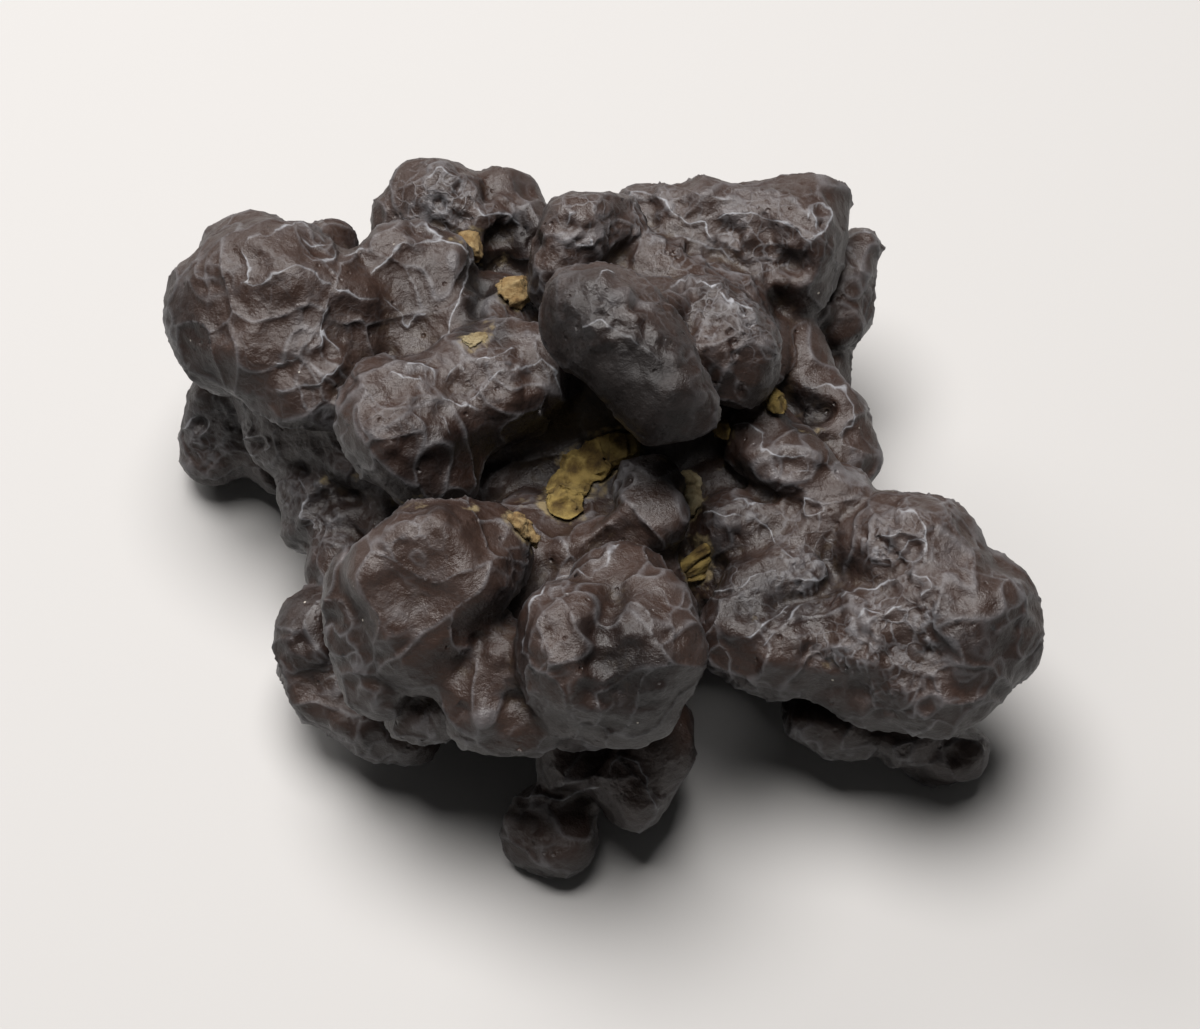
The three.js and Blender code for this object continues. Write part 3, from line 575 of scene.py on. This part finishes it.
print("raising its ridges")
places = inPhotograph(points)
shown = shownField(stone, points, normals, edges)
lines, beside = lineField(places, shown)
lines *= np.clip(0.75 + 0.9 * noiseField(points, stoneLooks["lineBreakSize"], 41.0), 0.2, 1)
patches = patchField(points, places, shown)
height, crestWearAndHighlight = stoneRelief(points, places, shown, joint, patches, lines)
points = inBox(points + normals * height[:, None])
writePoints(stone.data, points)

chalkLooks = {
    "voxel": 0.11 * mm,
    "smooth": 2,
    "ease": 3,
    "chip": 0.30 * mm,  # how uneven its broken faces are
    "chipSize": 0.75 * mm,
    "edge": 0.2 * mm,  # how uneven the height is at which it ends over the stone
    "edgeSize": 0.8 * mm,
    "grain": 0.13 * mm,
    "grainSize": 0.35 * mm,
}

chalkShapes = {  # how far each spreads past its crevice, how far it stands out, and its colour
    "chalk_seam_at_the_back": (0.35 * mm, 0.25 * mm, "ochreChalk"),
    "chalk_lump_at_the_back": (0.25 * mm, 0.45 * mm, "ochreChalk"),
    "chalk_lip": (0.10 * mm, 0.05 * mm, "paleChalk"),
    "chalk_in_the_hollow": (0.50 * mm, 0.25 * mm, "oliveChalk"),
    "chalk_at_the_front": (0.20 * mm, 0.30 * mm, "ochreChalk"),
    "chalk_in_the_crater": (0.20 * mm, 0.40 * mm, "oliveChalk"),
    "chalk_in_the_upper_crack": (0.25 * mm, 0.40 * mm, "oliveChalk"),
    "chalk_in_the_middle_crack": (0.30 * mm, 0.55 * mm, "paleChalk"),
    "chalk_in_the_lower_crack": (0.05 * mm, -0.15 * mm, "oliveChalk"),
}


def chalkCrumb(node, grow, cap, stoneTree):
    looks = chalkLooks
    crumb = mergedCopy(node, node + "_crumb")
    remeshed(crumb, looks["voxel"], looks["smooth"])
    spots = readPoints(crumb.data)
    lift = grow + looks["chip"] * chipField(spots, looks["chipSize"])
    spots = spots + readNormals(crumb.data) * lift[:, None]
    for i, spot in enumerate(spots):
        near, normal = stoneTree.find_nearest(Vector(spot))[:2]
        over = (Vector(spot) - near).dot(normal)
        most = cap + looks["edge"] * noise.noise(Vector(spot) / looks["edgeSize"])
        if over > most:
            spots[i] = Vector(spot) + normal * (most - over)
    spots = eased(spots, readEdges(crumb.data), looks["ease"])
    writePoints(crumb.data, spots)
    grain = looks["grain"] * fractalField(spots, looks["grainSize"], 7.0)
    writePoints(crumb.data, inBox(spots + readNormals(crumb.data) * grain[:, None]))
    shadeSmooth(crumb)
    return crumb


print("making the chalk")
stoneTree = BVHTree.FromObject(stone, bpy.context.evaluated_depsgraph_get())
crumbs = {
    node: chalkCrumb(node, grow, cap, stoneTree)
    for node, (grow, cap, colour) in chalkShapes.items()
}


def dustFilm(points, places, shown):  # chalk dust around the crumbs, and the films
    looks = {"reach": 0.35 * mm, "breakSize": 0.6 * mm, "seed": 33.0}
    chalkTree = treeOf(np.vstack([readPoints(crumb.data) for crumb in crumbs.values()]))
    away = np.array([chalkTree.find(point)[2] for point in points])
    film = np.exp(-((away / looks["reach"]) ** 2)) + dabField(places, shown, films)
    return film * (0.75 + 0.9 * noiseField(points, looks["breakSize"], looks["seed"]))


print("dusting the stone")
# besides dust and film, these fields carry wear and painted highlight on the crests
writeField(stone.data, "crestWearAndHighlight", crestWearAndHighlight)
writeField(stone.data, "lines", lines)
writeField(stone.data, "beside", beside)
# painted shade (below 0) and painted light (above 0) from the placed patches
writeField(stone.data, "paintedShadingAndStain", dabField(places, shown, paintedShadeAndLight))
writeField(stone.data, "netted", np.clip(patches, 0, 1))
writeField(stone.data, "joint", np.clip(joint, 0, 1))
writeField(stone.data, "film", np.clip(dustFilm(points, places, shown), 0, 1))
slim = stone.modifiers.new("slim", "DECIMATE")
slim.ratio = min(1, stoneLooks["triangles"] / (2 * len(stone.data.polygons)))
workIn(stone)
writePoints(stone.data, inBox(readPoints(stone.data)))
shadeSmooth(stone)
print("stone has", len(stone.data.polygons), "faces")


def newMaterial(name):
    material = bpy.data.materials.new(name)
    material.use_nodes = True
    tree = material.node_tree
    tree.nodes.clear()
    surface = tree.nodes.new("ShaderNodeBsdfPrincipled")
    output = tree.nodes.new("ShaderNodeOutputMaterial")
    tree.links.new(surface.outputs["BSDF"], output.inputs["Surface"])
    return material, tree, surface


def feed(tree, value, socket):  # a link from another node, or a colour or number of its own
    if isinstance(value, bpy.types.NodeSocket):
        tree.links.new(value, socket)
    else:
        socket.default_value = (*value, 1) if isinstance(value, tuple) else value


def noiseNode(tree, place, scale, detail=3.0, roughness=0.55):
    node = tree.nodes.new("ShaderNodeTexNoise")
    node.inputs["Scale"].default_value = scale
    node.inputs["Detail"].default_value = detail
    node.inputs["Roughness"].default_value = roughness
    tree.links.new(place, node.inputs["Vector"])
    return node.outputs["Fac"]


def cellNode(tree, place, scale, feature="F1"):  # how far from a cell's middle, or from its edge
    node = tree.nodes.new("ShaderNodeTexVoronoi")
    node.feature = feature
    node.inputs["Scale"].default_value = scale
    tree.links.new(place, node.inputs["Vector"])
    return node.outputs["Distance"]


def rampNode(tree, value, stops):
    node = tree.nodes.new("ShaderNodeValToRGB")
    ramp = node.color_ramp
    while len(ramp.elements) < len(stops):
        ramp.elements.new(0.5)
    for element, (place, colour) in zip(ramp.elements, stops):
        element.position = place
        element.color = (*colour, 1)
    tree.links.new(value, node.inputs["Fac"])
    return node.outputs["Color"]


def mixNode(tree, share, first, second):
    node = tree.nodes.new("ShaderNodeMix")
    node.data_type = "RGBA"
    feed(tree, share, node.inputs[0])
    feed(tree, first, node.inputs[6])
    feed(tree, second, node.inputs[7])
    return node.outputs[2]


def mathNode(tree, operation, first, second):
    node = tree.nodes.new("ShaderNodeMath")
    node.operation = operation
    feed(tree, first, node.inputs[0])
    feed(tree, second, node.inputs[1])
    return node.outputs[0]


def times(tree, first, second):
    return mathNode(tree, "MULTIPLY", first, second)


def plus(tree, first, second):
    return mathNode(tree, "ADD", first, second)


def mapNode(tree, value, low, high, first, last):  # low..high becomes first..last, and no further
    node = tree.nodes.new("ShaderNodeMapRange")
    for name, number in zip(("From Min", "From Max", "To Min", "To Max"), (low, high, first, last)):
        node.inputs[name].default_value = number
    tree.links.new(value, node.inputs["Value"])
    return node.outputs[0]


def fieldNode(tree, name):
    node = tree.nodes.new("ShaderNodeAttribute")
    node.attribute_name = name
    return node.outputs["Fac"]


def bumpNode(tree, surface, relief, strength, distance):
    bump = tree.nodes.new("ShaderNodeBump")
    bump.inputs["Strength"].default_value = strength
    bump.inputs["Distance"].default_value = distance
    tree.links.new(relief, bump.inputs["Height"])
    tree.links.new(bump.outputs[0], surface.inputs["Normal"])


def threadNode(tree, place, looks):  # 1 on the threads of a fine, uneven net
    warp = tree.nodes.new("ShaderNodeTexNoise")
    warp.inputs["Scale"].default_value = looks["threadWarpScale"]
    tree.links.new(place, warp.inputs["Vector"])
    shift = tree.nodes.new("ShaderNodeVectorMath")
    shift.operation = "MULTIPLY_ADD"
    tree.links.new(warp.outputs["Color"], shift.inputs[0])
    shift.inputs[1].default_value = (looks["threadWarp"],) * 3
    tree.links.new(place, shift.inputs[2])
    edge = cellNode(tree, shift.outputs[0], looks["threadScale"], "DISTANCE_TO_EDGE")
    return mapNode(tree, edge, 0.02, 0.10, 1, 0)


def ironOxide():
    looks = {
        # deep is painted shade on faces turned down and in the joints; the lit tone is painted
        # light on top; crest is partly wear, partly painted highlight
        "deep": (0.0050, 0.0022, 0.0016),
        "body": (0.0142, 0.0064, 0.0043),
        "worn": (0.037, 0.0200, 0.0145),
        "crestWearAndHighlight": (0.29, 0.295, 0.315),
        "dust": (0.085, 0.060, 0.034),
        "film": (0.19, 0.145, 0.075),
        "fleck": (0.5, 0.46, 0.40),
        "smoothest": 0.34,
        "roughest": 0.56,
        "mottleScale": 330,
        "sheenScale": 520,
        "threadScale": 900,
        "threadWarpScale": 700,
        "threadWarp": 1.7 * mm,
        "threadPatchScale": 260,
        "lineBreakScale": 900,
        "dustScale": 1500,
        "fleckScale": 520,
        "fleckPatchScale": 420,
        "fineScale": 1900,
        "broadScale": 800,
        "poreScale": 1150,
        "porePatchScale": 380,
        "bump": 0.8,
        "bumpHeight": 0.15 * mm,
    }
    material, tree, surface = newMaterial("ironOxide")
    place = tree.nodes.new("ShaderNodeTexCoord").outputs["Object"]
    joint = fieldNode(tree, "joint")
    paintedShadingAndStain = fieldNode(tree, "paintedShadingAndStain")

    parts = tree.nodes.new("ShaderNodeSeparateXYZ")
    geometry = tree.nodes.new("ShaderNodeNewGeometry")
    tree.links.new(geometry.outputs["Normal"], parts.inputs[0])
    paintedTopLight = mapNode(tree, parts.outputs["Z"], -0.2, 0.85, 0, 1)  # painted light: paler on faces turned up, darker on faces turned down
    mottle = noiseNode(tree, place, looks["mottleScale"], 5, 0.6)
    tone = plus(tree, times(tree, paintedTopLight, 0.7), times(tree, mottle, 0.6))
    # painted shade and painted light: darker and paler patches where shade and light fall
    tone = plus(tree, tone, times(tree, paintedShadingAndStain, 0.6))
    # the ramp runs from painted shade (deep) through body to the painted lit tone
    tones = [(0.25, looks["deep"]), (0.62, looks["body"]), (1.0, looks["worn"])]
    # painted shade: darker in the joints between lumps, towards the deep colour
    colour = mixNode(tree, times(tree, joint, 0.75), rampNode(tree, tone, tones), looks["deep"])

    thread = threadNode(tree, place, looks)  # pale threads where the net is, partly wear and partly painted highlight, and paler on faces turned up as painted light
    where = mapNode(tree, noiseNode(tree, place, looks["threadPatchScale"], 2), 0.40, 0.60, 0, 1)
    where = times(tree, where, plus(tree, fieldNode(tree, "netted"), 0.15))
    thread = times(tree, times(tree, thread, where), paintedTopLight)
    crestWearAndHighlight = mathNode(tree, "POWER", fieldNode(tree, "crestWearAndHighlight"), 1.5)  # pale crests of the relief: partly wear, partly painted highlight
    crestWearAndHighlight = times(tree, crestWearAndHighlight, 0.8)
    crestWearAndHighlight = mathNode(tree, "MAXIMUM", crestWearAndHighlight, times(tree, thread, 0.3))
    beside = mathNode(tree, "ABSOLUTE", fieldNode(tree, "beside"), 0)
    thin = mapNode(tree, beside, 0.01, 0.10, 1, 0)  # thin pale lines along the ridge lines: partly wear, partly painted highlight
    thin = times(tree, thin, mapNode(tree, fieldNode(tree, "lines"), 0.15, 0.8, 0, 1))
    breaks = noiseNode(tree, place, looks["lineBreakScale"], 3)
    thin = times(tree, thin, mapNode(tree, breaks, 0.35, 0.62, 0.40, 1))
    crestWearAndHighlight = mathNode(tree, "MAXIMUM", crestWearAndHighlight, thin)
    # the pale crests fade in the patches of painted shade
    crestWearAndHighlight = times(tree, crestWearAndHighlight, mapNode(tree, paintedShadingAndStain, -1.2, -0.2, 0.35, 1))
    # paints the crest colour: partly wear, partly painted highlight
    colour = mixNode(tree, crestWearAndHighlight, colour, looks["crestWearAndHighlight"])

    grain = mapNode(tree, noiseNode(tree, place, looks["dustScale"], 3), 0.46, 0.66, 0, 1)
    colour = mixNode(tree, times(tree, times(tree, joint, grain), 0.55), colour, looks["dust"])
    film = times(tree, fieldNode(tree, "film"), plus(tree, grain, 0.45))
    film = mapNode(tree, film, 0.15, 0.7, 0, 1)
    colour = mixNode(tree, film, colour, looks["film"])
    fleck = mapNode(tree, cellNode(tree, place, looks["fleckScale"]), 0.03, 0.055, 1, 0)
    some = mapNode(tree, noiseNode(tree, place, looks["fleckPatchScale"], 1), 0.60, 0.62, 0, 1)
    colour = mixNode(tree, times(tree, fleck, some), colour, looks["fleck"])
    tree.links.new(colour, surface.inputs["Base Color"])

    rough = noiseNode(tree, place, looks["sheenScale"], 4, 0.65)
    rough = mapNode(tree, rough, 0.3, 0.7, looks["smoothest"], looks["roughest"])
    inPaintedShade = mapNode(tree, paintedShadingAndStain, -1.3, -0.7, 0.4, 0)
    dull = mathNode(tree, "MAXIMUM", film, inPaintedShade)  # less sheen under films and in the patches of painted shade
    rough = plus(tree, rough, times(tree, dull, 0.4))
    tree.links.new(rough, surface.inputs["Roughness"])
    surface.inputs["IOR"].default_value = 1.5

    relief = times(tree, noiseNode(tree, place, looks["fineScale"], 5, 0.65), 1.2)
    relief = plus(tree, relief, times(tree, noiseNode(tree, place, looks["broadScale"], 2), 0.4))
    relief = plus(tree, relief, times(tree, thread, 0.2))
    pore = cellNode(tree, place, looks["poreScale"])
    pore = mapNode(tree, pore, 0.05, 0.22, 1, 0)  # pores too small for the mesh
    porous = mapNode(tree, noiseNode(tree, place, looks["porePatchScale"], 2), 0.52, 0.60, 0, 1)
    relief = mathNode(tree, "SUBTRACT", relief, times(tree, pore, porous))
    bumpNode(tree, surface, relief, looks["bump"], looks["bumpHeight"])
    return material


# the darkest colour of each is stain in the mottle and painted shade in the small bowls
chalkColours = {  # the last says how strongly small bowls show in its faces
    "paleChalk": {
        "paintedShadingAndStain": (0.13, 0.09, 0.04),
        "body": (0.26, 0.205, 0.11),
        "pale": (0.42, 0.36, 0.225),
        "bowls": 0.3,
    },
    "oliveChalk": {
        "paintedShadingAndStain": (0.060, 0.034, 0.008),
        "body": (0.165, 0.108, 0.026),
        "pale": (0.33, 0.24, 0.075),
        "bowls": 1.0,
    },
    "ochreChalk": {
        "paintedShadingAndStain": (0.10, 0.052, 0.016),
        "body": (0.22, 0.142, 0.056),
        "pale": (0.36, 0.27, 0.135),
        "bowls": 0.3,
    },
}


def chalk(name):
    looks = chalkColours[name]
    scales = {"mottle": 900, "bowls": 850, "grain": 2200}
    material, tree, surface = newMaterial(name)
    place = tree.nodes.new("ShaderNodeTexCoord").outputs["Object"]
    mottle = noiseNode(tree, place, scales["mottle"], 8, 0.72)
    tones = [(0.36, looks["paintedShadingAndStain"]), (0.5, looks["body"]), (0.66, looks["pale"])]
    # darker towards the middle of each small bowl, the dents of its bump: painted shade; paler
    # towards their rims
    cell = cellNode(tree, place, scales["bowls"])
    bowl = mapNode(tree, cell, 0.12, 0.62, 1, 0)
    share = times(tree, bowl, 0.65 * looks["bowls"])
    tone = mixNode(tree, share, rampNode(tree, mottle, tones), looks["paintedShadingAndStain"])
    rim = mapNode(tree, cell, 0.5, 0.72, 0, 0.55 * looks["bowls"])
    tree.links.new(mixNode(tree, rim, tone, looks["pale"]), surface.inputs["Base Color"])
    surface.inputs["Roughness"].default_value = 0.92
    relief = times(tree, noiseNode(tree, place, scales["grain"], 6, 0.75), 1.2)
    relief = mathNode(tree, "SUBTRACT", relief, times(tree, bowl, looks["bowls"]))
    bumpNode(tree, surface, relief, 0.9, 0.2 * mm)
    return material


def dress(piece, material, node):
    piece.data.materials.clear()
    piece.data.materials.append(material)
    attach(piece, "root")
    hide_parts(node)


print("dressing the pieces")
dress(stone, ironOxide(), "stone")
chalkMaterials = {name: chalk(name) for name in chalkColours}
for node, crumb in crumbs.items():
    dress(crumb, chalkMaterials[chalkShapes[node][2]], node)


def areaLight(name, place, target, size, power):
    light = bpy.data.lights.new(name, "AREA")
    light.shape = "DISK"
    light.size = size
    light.energy = power
    light.color = (1, 0.98, 0.965)
    lamp = bpy.data.objects.new(name, light)
    lamp.location = place
    lamp.rotation_mode = "QUATERNION"
    lamp.rotation_quaternion = (Vector(target) - Vector(place)).to_track_quat("-Z", "Y")
    scene.collection.objects.link(lamp)


def studio():
    looks = {
        "floor": (0.50, 0.49, 0.48),
        "floorSize": 1.5,
        "world": 0.045,
        "middle": (0, 0, 0.015),
        "top": {"place": (-0.04, 0.075, 0.44), "size": 0.28, "power": 3.2},
        "back": {"place": (-0.22, 0.28, 0.26), "size": 0.22, "power": 0.6},
    }
    mesh = bpy.data.meshes.new("floor")
    bm = bmesh.new()
    bmesh.ops.create_grid(bm, x_segments=1, y_segments=1, size=looks["floorSize"])
    bm.to_mesh(mesh)
    bm.free()
    floor = bpy.data.objects.new("floor", mesh)
    scene.collection.objects.link(floor)
    material, tree, surface = newMaterial("paleFloor")
    surface.inputs["Base Color"].default_value = (*looks["floor"], 1)
    surface.inputs["Roughness"].default_value = 0.9
    mesh.materials.append(material)
    for name in ("top", "back"):
        lamp = looks[name]
        areaLight(name + "Light", lamp["place"], looks["middle"], lamp["size"], lamp["power"])
    world = bpy.data.worlds.new("studio")
    world.use_nodes = True
    background = world.node_tree.nodes["Background"]
    background.inputs[0].default_value = (1, 1, 1, 1)
    background.inputs[1].default_value = looks["world"]
    scene.world = world


def photographCamera():
    camera = bpy.data.cameras.new("photographCamera")
    camera.lens = view["lens"]
    camera.sensor_width = view["sensor"]
    camera.clip_start = 0.01
    seat = bpy.data.objects.new("photographCamera", camera)
    seat.location = eye
    seat.rotation_mode = "QUATERNION"
    seat.rotation_quaternion = (-towardsEye).to_track_quat("-Z", "Y")
    scene.collection.objects.link(seat)
    scene.camera = seat


print("setting the studio")
studio()
photographCamera()
scene.view_settings.view_transform = "Standard"
